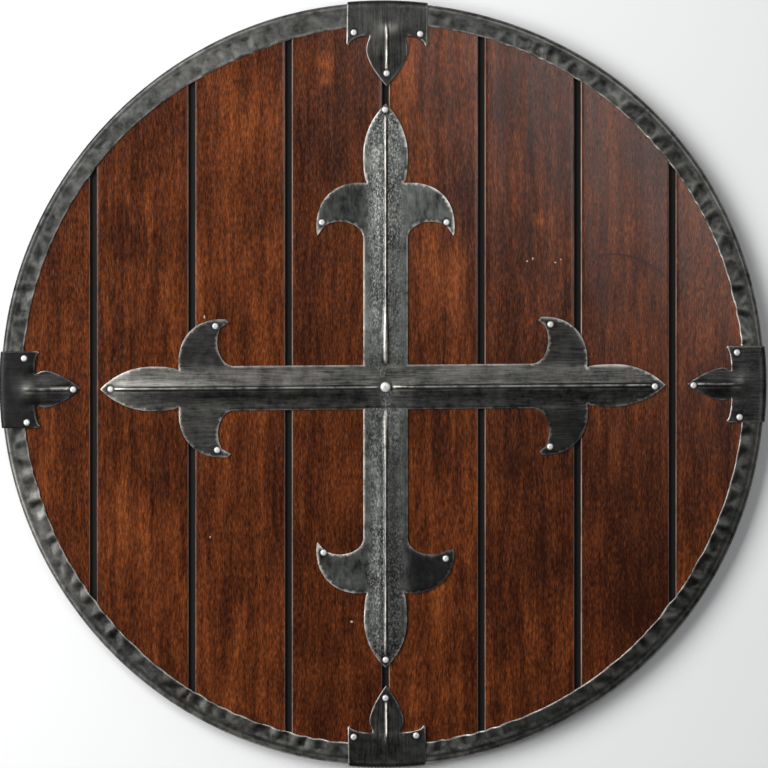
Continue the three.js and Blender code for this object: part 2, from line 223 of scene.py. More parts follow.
def board_mesh(name, section, board, left_arris_paleness):
    """The section run up the shield, its ends following the round of the hoop."""
    count = len(section)
    middle_x = (section[0][0] + section[BACK_STEPS][0]) / 2
    vertices, worn_and_lit = [], []
    for station in range(BOARD_STATIONS + 1):
        share = 2 * station / BOARD_STATIONS - 1
        for x, z in section:
            half = math.sqrt(max(board_radius ** 2 - x ** 2, 0.01))
            y = share * half
            height = z
            above_wall = z > board_face - ARRIS - 0.01
            on_arris = above_wall and z < board_face - 0.001
            if above_wall:
                height = z + hand_planed(x, y, board) - FACE_SUNK
            vertices.append((x * MM, y * MM, height * MM))
            # Pale arrises: worn, and on the left arris also a painted highlight where the light falls on it.
            right_arris = on_arris and x > middle_x
            worn_and_lit.append(RIGHT_ARRIS_PALENESS if right_arris else left_arris_paleness * on_arris)
    faces = []
    for station in range(BOARD_STATIONS):
        row = station * count
        for i in range(count):
            after = (i + 1) % count
            faces.append((row + i, row + after, row + count + after, row + count + i))
    faces.append(tuple(range(count - 1, -1, -1)))
    last_row = BOARD_STATIONS * count
    faces.append(tuple(range(last_row, last_row + count)))
    mesh = bpy.data.meshes.new(name)
    mesh.from_pydata(vertices, [], faces)
    mark = mesh.attributes.new("worn_and_lit", "FLOAT", "POINT")
    mark.data.foreach_set("value", worn_and_lit)
    for face in mesh.polygons[:BOARD_STATIONS * count]:
        height = face.center.z / MM
        in_groove = TONGUE_TOP - 0.5 < height < board_face - ARRIS * 0.8
        on_tongue = abs(face.normal.z) > 0.5
        face.material_index = (2 if on_tongue else 1) if in_groove else 0
    return mesh


def shade(mesh, sharp_over=32):
    """Smooth shading with its sharp edges kept, and every face turned outwards."""
    body = bmesh.new()
    body.from_mesh(mesh)
    bmesh.ops.recalc_face_normals(body, faces=body.faces)
    if body.calc_volume(signed=True) < 0:
        bmesh.ops.reverse_faces(body, faces=body.faces)
    body.to_mesh(mesh)
    body.free()
    mesh.polygons.foreach_set("use_smooth", [True] * len(mesh.polygons))
    mesh.set_sharp_from_angle(angle=math.radians(sharp_over))
    mesh.update()


class Amount:
    """A number made by a node. Arithmetic on it adds the nodes that work it out."""

    def __init__(self, socket):
        self.socket = socket
        self.tree = socket.id_data

    def __add__(self, other):
        return worked(self.tree, "ADD", self, other)

    def __sub__(self, other):
        return worked(self.tree, "SUBTRACT", self, other)

    def __rsub__(self, other):
        return worked(self.tree, "SUBTRACT", other, self)

    def __mul__(self, other):
        return worked(self.tree, "MULTIPLY", self, other)

    def __truediv__(self, other):
        return worked(self.tree, "DIVIDE", self, other)

    def __pow__(self, power):
        return worked(self.tree, "POWER", self, power)

    def __abs__(self):
        return worked(self.tree, "ABSOLUTE", self)

    def over(self, floor):
        """The number, or the floor where that is more."""
        return worked(self.tree, "MAXIMUM", self, floor)

    def between(self, low, high, to_low=0.0, to_high=1.0):
        """The number stretched, and held, from one range to another."""
        return Amount(node(self.tree, "ShaderNodeMapRange", {
            "Value": self,
            "From Min": low,
            "From Max": high,
            "To Min": to_low,
            "To Max": to_high,
        }).outputs["Result"])


def worked(tree, operation, *values):
    """A number worked out by one math node."""
    return Amount(node(tree, "ShaderNodeMath", dict(enumerate(values)), operation=operation).outputs[0])


def split(place):
    """The X, Y and Z of a place."""
    return [Amount(part) for part in node(place.id_data, "ShaderNodeSeparateXYZ", {0: place}).outputs]


def joined(tree, x=0.0, y=0.0, z=0.0):
    """A place made of X, Y and Z."""
    return node(tree, "ShaderNodeCombineXYZ", {0: x, 1: y, 2: z}).outputs[0]


def moved_by(place, offset, how="ADD"):
    """A place added to another one, or joined with it in another way."""
    return node(place.id_data, "ShaderNodeVectorMath", {0: place, 1: offset}, operation=how).outputs[0]


def grain(place, size, detail=3.0, roughness=0.55, shift=(0, 0, 0)):
    """Noise whose patches have this size along X, Y and Z, in metres."""
    scaled = node(place.id_data, "ShaderNodeMapping", {
        "Vector": place,
        "Location": shift,
        "Scale": tuple(1 / s for s in size),
    })
    return Amount(node(place.id_data, "ShaderNodeTexNoise", {
        "Vector": scaled.outputs[0],
        "Scale": 1.0,
        "Detail": detail,
        "Roughness": roughness,
    }).outputs["Fac"])


def mark_on(tree, name):
    """The strength of a mark that the mesh carries."""
    return Amount(node(tree, "ShaderNodeAttribute", attribute_name=name).outputs["Fac"])


def blended(share, first, second):
    """Two colours mixed by a share."""
    made = node(share.tree, "ShaderNodeMix", {0: share}, data_type="RGBA")
    for socket, value in ((made.inputs[6], first), (made.inputs[7], second)):
        if isinstance(value, bpy.types.NodeSocket):
            share.tree.links.new(value, socket)
        else:
            socket.default_value = (*value, 1)
    return made.outputs[2]


def finish_surface(shader, colour, roughness, relief, strength, depth):
    """A shader joined to its colour, its roughness and its fine relief."""
    tree = shader.id_data
    bump = node(tree, "ShaderNodeBump", {"Strength": strength, "Distance": depth, "Height": relief})
    tree.links.new(colour, shader.inputs["Base Color"])
    tree.links.new(roughness.socket, shader.inputs["Roughness"])
    tree.links.new(bump.outputs[0], shader.inputs["Normal"])


def away_from(place, centre, reach=(1, 1)):
    """How far a place on the shield's face is from a centre, in reaches across and up."""
    moved = moved_by(place, (*centre, 0), "SUBTRACT")
    scaled = moved_by(moved, (1 / reach[0], 1 / reach[1], 0), "MULTIPLY")
    size = node(place.id_data, "ShaderNodeVectorMath", {0: scaled}, operation="LENGTH")
    return Amount(size.outputs["Value"])


def mark_at(place, centre, reach, soft):
    """1 inside a small oval on the shield's face, fading to 0 at its edge."""
    return away_from(place, centre, reach).between(1.0 - soft, 1.0, 1.0, 0.0)


WOOD_DARK = (0.024, 0.0055, 0.0020)
WOOD_MID = (0.070, 0.0165, 0.0048)
WOOD_WARM = (0.145, 0.035, 0.0085)
WOOD_PALE = (0.270, 0.072, 0.018)
SPECK_PALE = (0.62, 0.46, 0.33)
SCRATCH_DARK = (0.035, 0.006, 0.004)
ARRIS_PALE = (0.44, 0.35, 0.29)


def scratch_share(place, centre, radius, low):
    """1 on a curved scratch, part of a circle beyond a low corner, and 0 elsewhere."""
    line = abs(away_from(place, centre) - radius).between(0.4 * MM, 1.2 * MM, 0.85, 0.0)
    x, y, _ = split(place)
    return line * (x.between(low[0], low[0] + 0.006) * y.between(low[1], low[1] + 0.004))


def board_wood(name, board, tone, figure, patches, specks, scratch):
    """Varnished hardwood: streaks and dark pores along the board over a broader figure."""
    wood, tree, shader = new_finish(name)
    place = node(tree, "ShaderNodeTexCoord").outputs["Object"]
    shift = (board * 5.3, board * 2.9, board * 1.7)
    sway = (grain(place, (0.05, 0.09, 0.05), 2.0, 0.5, shift) - 0.5) * 0.007
    along = moved_by(place, joined(tree, sway))
    ribbon = grain(along, (0.011, 0.17, 0.011), 2.5, 0.6, shift)
    streak = grain(along, (0.0030, 0.030, 0.0030), 4.0, 0.62, shift)
    fleck = grain(along, (0.0010, 0.0045, 0.0010), 3.0, 0.6, shift)
    pores = grain(along, (0.0007, 0.0040, 0.0007), 2.0, 0.5, (shift[1], shift[2], shift[0]))
    cloud = grain(place, (0.045, 0.075, 0.045), 3.0, 0.5, (shift[2], shift[0], shift[1]))
    level = (ribbon - 0.5) * figure
    for pattern, weight in ((streak, 0.85), (fleck, 1.55), (cloud, 0.75)):
        level += (pattern - 0.5) * weight
    level += 0.46 + tone
    for centre, reach, strength in patches:
        level += mark_at(place, centre, reach, 0.9) * strength
    ramp = node(tree, "ShaderNodeValToRGB", {"Fac": level})
    stops = ramp.color_ramp.elements
    stops[0].position, stops[0].color = 0.12, (*WOOD_DARK, 1)
    stops[1].position, stops[1].color = 1.0, (*WOOD_PALE, 1)
    for position, colour in ((0.42, WOOD_MID), (0.70, WOOD_WARM)):
        stops.new(position).color = (*colour, 1)
    open_pore = pores.between(0.60, 0.70)
    colour = blended(open_pore * 0.6, ramp.outputs["Color"], WOOD_DARK)
    rubbed_and_lit = grain(place, (0.004, 0.035, 0.004), 3.0, 0.6, shift)
    # Paler arrises: wear, with a painted highlight where the light falls on the left ones.
    pale_tone = mark_on(tree, "worn_and_lit") * rubbed_and_lit.between(0.32, 0.60, 0.3, 0.95)
    colour = blended(pale_tone, colour, ARRIS_PALE)
    for centre, reach in specks:
        colour = blended(mark_at(place, centre, reach, 0.6), colour, SPECK_PALE)
    if scratch:
        colour = blended(scratch_share(place, *scratch), colour, SCRATCH_DARK)
    gloss = streak.between(0.3, 0.7, 0.16, 0.21) + open_pore * 0.2
    finish_surface(shader, colour, gloss, streak * 0.5 - open_pore, 0.4, 0.035 * MM)
    shader.inputs["Specular IOR Level"].default_value = 0.24
    return wood


groove_stain = plain_finish("groove_black_stain", (0.006, 0.006, 0.006), 0.75, 0.12)
tongue_stain = plain_finish("tongue_dusty_stain", (0.010, 0.009, 0.008), 0.7, 0.2)

# Each board's own tone, strength of figure and paleness of its left arris (wear, with a painted
# highlight where the light falls on it), its patches of paler figure, darker where the strength is
# below zero (where, how far across and up, how strong), its pale specks and its scratch (centre,
# radius, low corner).
BOARD_LOOKS = [
    (0.02, 0.7, 0.0, [], [], None),
    (
        -0.04, 0.9, 0.10,
        [((-0.205, -0.06), (0.02, 0.10), 0.12), ((-0.185, -0.125), (0.045, 0.08), 0.16)],
        [], None,
    ),
    (
        0.05, 0.8, 0.15, [((-0.11, 0.20), (0.03, 0.07), 0.10), ((-0.11, -0.15), (0.05, 0.15), -0.07)],
        [((-0.1403, 0.0527), (0.0007, 0.0017)), ((-0.1358, -0.1202), (0.0007, 0.0010))], None,
    ),
    (
        -0.07, 0.8, 0.40, [((-0.045, 0.252), (0.010, 0.012), 0.4), ((-0.046, 0.238), (0.009, 0.006), 0.4)],
        [((-0.0246, -0.1867), (0.0013, 0.0011))], None,
    ),
    (0.03, 0.9, 0.60, [((0.018, 0.245), (0.012, 0.045), 0.35), ((0.05, 0.07), (0.03, 0.06), 0.2)], [], None),
    (
        -0.05, 0.8, 0.42, [((0.123, 0.128), (0.010, 0.008), 0.3), ((0.12, -0.15), (0.06, 0.16), -0.10)],
        [
            ((0.1132, 0.0965), (0.0008, 0.0009)), ((0.1177, 0.0985), (0.0007, 0.0013)),
            ((0.1354, 0.0955), (0.0010, 0.0007)), ((0.1397, 0.0979), (0.0007, 0.0007)),
        ], None,
    ),
    (-0.05, 0.7, 0.75, [((0.19, -0.13), (0.06, 0.15), -0.14)], [], ((0.180, 0.045), 0.057, (0.166, 0.083))),
    (0.02, 0.7, 0.30, [], [], None),
]
seams = [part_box(f"board_{i}")[0].x / MM - SLOT_GAP / 2 for i in range(2, BOARD_COUNT + 1)]
for i, (tone, figure, left_arris_paleness, patches, specks, scratch) in enumerate(BOARD_LOOKS):
    first, last = i == 0, i == BOARD_COUNT - 1
    left = -board_radius if first else seams[i - 1]
    right = board_radius if last else seams[i]
    name = f"plank_{i + 1}"
    mesh = board_mesh(name, board_section(left, right, first, last), i, left_arris_paleness)
    wood = board_wood(f"{name}_wood", i, tone, figure, patches, specks, scratch)
    for finish in (wood, groove_stain, tongue_stain):
        mesh.materials.append(finish)
    shade(mesh)
    plank = shown(name, mesh)
    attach(plank, "root")
    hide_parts(f"board_{i + 1}")


# ---------------------------------------------------------------------------------------------
# The hoop: one strip of sheet iron folded round the boards' edge, hammered down cold so that
# its inner edge is scalloped by the blows, then blackened and rubbed bright on its high spots,
# which also carry painted highlights. A painted highlight on its bead, and painted light and
# shade that vary round the circle, stand for the studio light.

HOOP_SHEET = 1.2
HOOP_FLANGE = 17.0
FOLD = 3.0
HOOP_SECTIONS = 1500
hoop_radius = hoop_high.x / MM
hoop_inner = hoop_radius - HOOP_FLANGE
hoop_back = hoop_low.z / MM
hoop_face = hoop_high.z / MM


def hoop_section():
    """The strip's folded section, as radius and height: face, wall, back and inside again."""
    inner = hoop_inner
    fold = hoop_radius - FOLD
    in_fold = FOLD - HOOP_SHEET
    turns = [math.radians(15 * step) for step in range(7)]
    face = [(inner, hoop_face - HOOP_SHEET * 0.55), (inner + 0.25, hoop_face - 0.25)]
    face += [(inner + 0.8 + 0.75 * step, hoop_face) for step in range(17)]
    face += [(fold + FOLD * math.sin(a), hoop_face - FOLD * (1 - math.cos(a))) for a in turns]
    wall = [(hoop_radius, hoop_face - FOLD - step * 1.8) for step in range(1, 5)]
    back = [(fold + FOLD * math.cos(a), hoop_back + FOLD * (1 - math.sin(a))) for a in turns]
    back += [(fold - 2.3 * step, hoop_back) for step in range(1, 6)]
    back += [(inner + 0.5, hoop_back), (inner, hoop_back + 0.4), (inner, hoop_back + HOOP_SHEET)]
    inside = [(fold - 4, hoop_back + HOOP_SHEET)]
    inside += [
        (fold + in_fold * math.sin(a), hoop_back + HOOP_SHEET + in_fold * (1 - math.cos(a)))
        for a in turns[::2]
    ]
    inside += [
        (fold + in_fold * math.cos(a), hoop_face - HOOP_SHEET - in_fold * (1 - math.sin(a)))
        for a in turns[::2]
    ]
    inside += [(fold - 4, hoop_face - HOOP_SHEET), (inner, hoop_face - HOOP_SHEET)]
    return face + wall + back + inside


def named_inputs(tree, sizes):
    """A tree's geometry, its named sizes and its output, and each size's own identifier."""
    made = tree.interface
    made.new_socket("Geometry", in_out="INPUT", socket_type="NodeSocketGeometry")
    made.new_socket("Geometry", in_out="OUTPUT", socket_type="NodeSocketGeometry")
    kinds = {"float": "NodeSocketFloat", "int": "NodeSocketInt", "Material": "NodeSocketMaterial"}
    keys = {}
    for name, value in sizes.items():
        socket = made.new_socket(name, in_out="INPUT", socket_type=kinds[type(value).__name__])
        keys[name] = socket.identifier
    return tree.nodes.new("NodeGroupInput"), tree.nodes.new("NodeGroupOutput"), keys


def run_tree(name, start, tree, keys, sizes):
    """The tree run on a mesh, its result kept as a plain mesh on a new object."""
    maker = shown(name, start)
    live = maker.modifiers.new("making", "NODES")
    live.node_group = tree
    for size, value in sizes.items():
        live[keys[size]] = value
    depsgraph = bpy.context.evaluated_depsgraph_get()
    result = bpy.data.meshes.new_from_object(maker.evaluated_get(depsgraph), depsgraph=depsgraph)
    maker.modifiers.remove(live)
    maker.data = result
    result.name = name
    return maker


def hammered_hoop_tree(sizes):
    """Sweeps the section it is given round a circle, pulls it out of round between the clips,
    leans its wall out there, and beats a row of dents into its inner edge."""
    tree = bpy.data.node_groups.new("hammered_hoop", "GeometryNodeTree")
    given, result, keys = named_inputs(tree, sizes)
    size = given.outputs
    circle = node(tree, "GeometryNodeCurvePrimitiveCircle", {
        "Resolution": size["Sections"], "Radius": size["Radius"],
    })
    section = node(tree, "GeometryNodeMeshToCurve", {"Mesh": size["Geometry"]})
    ring = node(tree, "GeometryNodeCurveToMesh", {
        "Curve": circle.outputs[0], "Profile Curve": section.outputs[0],
    })
    x, y, z = split(node(tree, "GeometryNodeInputPosition").outputs[0])
    radius = worked(tree, "SQRT", x * x + y * y)
    angle = worked(tree, "ARCTAN2", y, x)
    front = z.between(hoop_back * MM, hoop_face * MM)
    edge = radius.between(hoop_inner * MM, (hoop_inner + 7) * MM, 1.0, 0.0)

    def wave(times, turned):
        return worked(tree, "COSINE", (angle - math.radians(turned)) * float(times))

    def stretch(turned, narrow):
        """A stretch of the hoop about one direction, fading out on both sides."""
        return wave(1, turned).over(0.0) ** float(narrow)

    free = abs(worked(tree, "SINE", angle * 2.0)) ** 2.0
    bulge = wave(1, 45) * 1.5 + wave(1, 135) * -1.9 + wave(2, 45) * 0.85 + 1.0
    bulge = bulge * free * size["Bulge"]
    inward = radius.between(hoop_inner * MM, hoop_radius * MM, 0.45, 1.0)
    pull = bulge * (inward * front.between(0.0, 1.0, 1.0, 0.6))
    pull = pull - stretch(112, 14) * edge * size["Wide flange"]

    turned_pitch = angle * size["Radius"] / size["Blow pitch"]
    blow = joined(tree, turned_pitch, (radius - size["Radius"]) / size["Blow reach"], size["Seed"])
    bent = node(tree, "ShaderNodeTexNoise", {"Vector": blow, "Scale": 1.3, "Detail": 2.0})
    bent = node(tree, "ShaderNodeVectorMath", {0: bent.outputs["Color"], "Scale": 0.28}, operation="SCALE")
    force = node(tree, "ShaderNodeTexNoise", {"Vector": blow, "Scale": 0.22, "Detail": 2.0})
    force = Amount(force.outputs["Fac"]).between(0.36, 0.60, 0.25, 1.0)
    cells = node(tree, "ShaderNodeTexVoronoi", {
        "Vector": moved_by(blow, bent.outputs[0]), "Scale": 1.0, "Randomness": 1.0,
    }, voronoi_dimensions="2D", feature="DISTANCE_TO_EDGE").outputs["Distance"]
    bowl = node(tree, "ShaderNodeMapRange", {
        "Value": cells, "From Max": 0.48,
    }, interpolation_type="SMOOTHSTEP")
    force = force * stretch(138, 3).between(0.0, 1.0, 1.0, 0.5)
    hollow = Amount(bowl.outputs[0]) * force
    near_edge = radius.between((hoop_radius - 9.0) * MM, (hoop_radius - 5.5) * MM, 1.0, 0.0)
    dent = hollow * near_edge * (front.between(0.75, 0.9, 0.3, 1.0) * size["Blow depth"])
    pull = pull + (0.4 - hollow) * (edge * size["Edge waver"])
    crease = abs(radius - (hoop_radius - 5.0) * MM).between(0.0, 1.6 * MM, 1.0, 0.0)
    crease = crease * front.between(0.9, 0.97, 0.0, 0.12 * MM)
    grow = (radius + pull) / radius
    moved = joined(tree, x * grow, y * grow, z - dent - crease)

    # Painted highlights on the dent crests, on the inner edge and on the bead, the bead's changing round the
    # circle.
    crest_highlight = Amount(cells).between(0.0, 0.20, 0.16, 0.0) * force * near_edge
    arris = radius.between((hoop_inner + 0.3) * MM, (hoop_inner + 1.2) * MM, 0.8, 0.0)
    bead = radius.between((hoop_radius - 4.5) * MM, (hoop_radius - 2.5) * MM) * front
    bead_highlight = stretch(250, 5) * 0.16 + 0.18 - stretch(155, 7) * 0.30
    # Painted light round the circle, lighter near 202, 118 and 253 degrees, and painted shade near 330
    # degrees.
    marks = {
        "filed_and_highlit": crest_highlight.over(arris).over(bead * bead_highlight.over(0.0)),
        "rubbed_and_lit": stretch(202, 60) * 0.46 + stretch(118, 12) * 0.18 + stretch(253, 20) * 0.13,
        "painted_shade_and_darkening": stretch(330, 12) * 0.45,
    }
    marked = ring.outputs[0]
    for mark, value in marks.items():
        marked = node(tree, "GeometryNodeStoreNamedAttribute", {
            "Geometry": marked,
            "Name": mark,
            "Value": value,
        }).outputs[0]
    shaped = node(tree, "GeometryNodeSetPosition", {"Geometry": marked, "Position": moved})
    real = node(tree, "GeometryNodeRealizeInstances", {"Geometry": shaped.outputs[0]})
    faced = node(tree, "GeometryNodeSetMaterial", {"Geometry": real.outputs[0], "Material": size["Finish"]})
    tree.links.new(faced.outputs[0], result.inputs[0])
    return tree, keys


def blackened_iron(name, dark, pale_tone, streak_size, streaks=0.9):
    """Blackened sheet iron: mottled and brushed scale, pitted in places, rubbed bright on its
    filed edges. Painted highlights lie on its crests and in broader patches that are partly rubbed
    and partly painted light, and painted shade lies beside the crests, round the nails and in
    broader patches."""
    iron, tree, shader = new_finish(name)
    place = node(tree, "ShaderNodeTexCoord").outputs["Object"]
    cloud = grain(place, (0.028, 0.028, 0.028), 4.0, 0.6)
    mottle = grain(place, (0.006, 0.006, 0.006), 4.0, 0.65)
    streak = grain(place, streak_size, 4.0, 0.65)
    pits = grain(place, (0.0013, 0.0024, 0.0013), 3.0, 0.8)
    usual = (1.4 + streaks) / 2
    level = cloud * 0.9 + mottle * 0.5 + streak * streaks
    colour = blended(level.between(usual - 0.24, usual + 0.28), dark, pale_tone)
    # Lighter patches, partly rubbed iron and partly painted light and painted reflection.
    colour = blended(mark_on(tree, "rubbed_and_lit") * streak.between(0.3, 0.65, 0.3, 1.0), colour, RUBBED_AND_LIT)
    pitted = mark_on(tree, "pitted")
    colour = blended(pits.between(0.51, 0.66) * pitted, colour, PIT_BRIGHT)
    colour = blended(pits.between(0.48, 0.38, 0.0, 0.9) * pitted, colour, SHADE_AND_SCALE_BLACK)
    broken = grain(place, (0.012, 0.012, 0.012), 4.0, 0.7).between(0.36, 0.58, 0.15, 1.0)
    # Bright filed edges, together with the painted highlights on crests and bead.
    edge_and_highlight = mark_on(tree, "filed_and_highlit") * broken
    colour = blended(edge_and_highlight, colour, EDGE_BARE_AND_HIGHLIGHT)
    # Painted shade, with the dark scale of the pits and the darker parts of the clips.
    colour = blended(mark_on(tree, "painted_shade_and_darkening"), colour, SHADE_AND_SCALE_BLACK)
    tree.links.new(edge_and_highlight.between(0.0, 1.0, 1.0, 0.72).socket, shader.inputs["Metallic"])
    relief = streak * 0.6 + pits * pitted + mottle * 0.8
    finish_surface(shader, colour, mottle.between(0.2, 0.8, 0.30, 0.46), relief, 0.5, 0.16 * MM)
    return iron


SHADE_AND_SCALE_BLACK = (0.012, 0.012, 0.012)
PIT_BRIGHT = (0.40, 0.405, 0.385)
RUBBED_AND_LIT = (0.30, 0.29, 0.265)
EDGE_BARE_AND_HIGHLIGHT = (0.74, 0.69, 0.63)
hoop_finish = blackened_iron(
    "hoop_iron_black", (0.015, 0.015, 0.0145), (0.094, 0.096, 0.090), (0.008, 0.008, 0.008),
)
HOOP_SIZES = {
    "Radius": hoop_radius * MM,
    "Sections": HOOP_SECTIONS,
    "Bulge": 1.0 * MM,
    "Wide flange": 3.4 * MM,
    "Blow pitch": 16.0 * MM,
    "Blow reach": 19.0 * MM,
    "Blow depth": 1.15 * MM,
    "Edge waver": 0.9 * MM,
    "Seed": 4.0,
    "Finish": hoop_finish,
}
section_points = hoop_section()
section_mesh = bpy.data.meshes.new("hoop_section")
section_mesh.from_pydata(
    [((r - hoop_radius) * MM, -z * MM, 0) for r, z in section_points],
    [(i, (i + 1) % len(section_points)) for i in range(len(section_points))],
    [],
)
hoop_tree, hoop_keys = hammered_hoop_tree(HOOP_SIZES)
hoop = run_tree("hammered_hoop", section_mesh, hoop_tree, hoop_keys, HOOP_SIZES)
shade(hoop.data)
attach(hoop, "root")
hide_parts("rim_hoop")


# ---------------------------------------------------------------------------------------------
# The cross: two bars cut from sheet iron with barbs and a pointed leaf at both ends, creased
# along the middle, blackened, brushed and filed bright round their edges. The level bar is bent
# up over the upright one, and the nails and one rivet hold both down on the boards.

BAR_SHEET = 1.5
BAR_HALF_WIDTH = 17.4
BAR_SUNK = 0.15
FLANK_HOLLOW = 1.55
BARB_SPREAD = 54.2
BARB_ROUND = 34.3
BARB_FULLNESS = 2.2
LEAF_BASE = 14.6
LEAF_WIDEST = 21
CUT_STEP = 1.0
on_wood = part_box("cross_upright_bar")[0].z / MM
CROSSING_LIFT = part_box("cross_level_bar")[0].z / MM - on_wood


def nail_place(node_name):
    """The middle of a nail or rivet, seen from the front."""
    low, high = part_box(node_name)
    return (low.x + high.x) / 2 / MM, (low.y + high.y) / 2 / MM


def bow(centre, radii, start, end, fullness=2.0):
    """Points along part of a round curve. A fullness over 2 fills out its corners."""
    count = max(2, round(math.radians(abs(end - start)) * max(radii) / CUT_STEP))
    points = []
    for i in range(count + 1):
        angle = math.radians(start + (end - start) * i / count)
        across, up = math.cos(angle), math.sin(angle)
        swell = (abs(across) ** fullness + abs(up) ** fullness) ** (-1 / fullness)
        points.append((centre[0] + radii[0] * swell * across, centre[1] + radii[1] * swell * up))
    return points


def mirrored(points):
    return [(u, -v) for u, v in reversed(points)]


def filled_in(points, step=CUT_STEP):
    """A closed outline with its long straight cuts divided into short ones."""
    dense = []
    for start, end in zip(points, points[1:] + points[:1]):
        length = math.dist(start, end)
        if length < 0.05:
            continue
        parts = max(1, math.ceil(length / step))
        for i in range(parts):
            share = i / parts
            dense.append(tuple(a + (b - a) * share for a, b in zip(start, end)))
    return dense


def barb(point, shoulder, point_across):
    """A barb from its root in the bar, round its hollow side and back round its outside."""
    outside = (shoulder - BARB_ROUND, BARB_SPREAD - BARB_ROUND)
    at_point = math.degrees(math.acos((point - outside[0]) / BARB_ROUND))
    return [
        *bow((shoulder - 43.5, BAR_HALF_WIDTH + 18.5), (13, 18.5), -90, 40),
        (point, point_across),
        *bow(outside, (BARB_ROUND, BARB_ROUND), at_point - 4, -9, BARB_FULLNESS),
    ]


def leaf_side(shoulder, tip, leaf_half):
    """One side of a leaf: a short swelling, then a pointed arch to the tip."""
    widest = shoulder + LEAF_WIDEST
    length = tip - widest
    arch = (leaf_half ** 2 + length ** 2) / (2 * leaf_half)
    turn = math.degrees(math.asin(length / arch))
    return [
        *bow((widest, LEAF_BASE), (LEAF_WIDEST - 1, leaf_half - LEAF_BASE), 178, 90)[:-1],
        *bow((widest, leaf_half - arch), (arch, arch), 90, 90 - turn),
    ]


def bar_end(end, point_across):
    leaf = leaf_side(end["shoulder"], end["tip"], end["leaf_half"])
    return [
        *barb(end["barbs"][0], end["shoulder"], point_across),
        *leaf,
        *mirrored(leaf)[1:],
        *mirrored(barb(end["barbs"][1], end["shoulder"], point_across)),
    ]


def far_from(points, loop):
    """How far each point is from a closed loop of straight cuts."""
    starts = np.array(loop)
    steps = np.roll(starts, -1, axis=0) - starts
    lengths = np.maximum((steps ** 2).sum(axis=1), 1e-9)
    found = np.empty(len(points))
    for begin in range(0, len(points), 500):
        some = np.array(points[begin:begin + 500])[:, None, :] - starts[None]
        share = np.clip((some * steps[None]).sum(axis=2) / lengths[None], 0, 1)
        gap = some - share[..., None] * steps[None]
        found[begin:begin + 500] = np.sqrt((gap ** 2).sum(axis=2).min(axis=1))
    return found


def inside(points, loop):
    """Whether each point lies inside a closed loop."""
    points, starts = np.array(points), np.array(loop)
    ends = np.roll(starts, -1, axis=0)
    found = np.zeros(len(points), bool)
    for (ax, ay), (bx, by) in zip(starts, ends):
        crosses = (ay > points[:, 1]) != (by > points[:, 1])
        if ay != by:
            found ^= crosses & (points[:, 0] < (bx - ax) * (points[:, 1] - ay) / (by - ay) + ax)
    return found


def inset_rows(loop, depths):
    """Rows of points just inside an outline, where its filed edge bends down."""
    points = np.array(loop)
    ahead, behind = np.roll(points, -1, axis=0), np.roll(points, 1, axis=0)
    along = ahead - behind
    along /= np.maximum(np.linalg.norm(along, axis=1, keepdims=True), 1e-9)
    inwards = np.stack([-along[:, 1], along[:, 0]], axis=1)
    rows = []
    for depth in depths:
        row = points + inwards * depth
        kept = (far_from(row, loop) > depth * 0.93) & inside(row, loop)
        rows += [tuple(p) for p in row[kept]]
    return rows


FILED_DEPTHS = (0.18, 0.4, 0.75, 1.5)
FILED_REACH = 0.75
FILED_DROP = 0.3
HALO_REACH = 4.3
HALO_FADE = 1.2
HALO_DARK = 0.8
EDGE_MARGIN = 0.9
HOLE_MARGIN = 0.25
HOLE_RADIUS = 1.3
HOLE_SIDES = 16


def filed_drop(distance):
    """How far a filed edge falls at a distance in from the cut."""
    return FILED_DROP * max(0.0, 1 - distance / FILED_REACH) ** 1.6


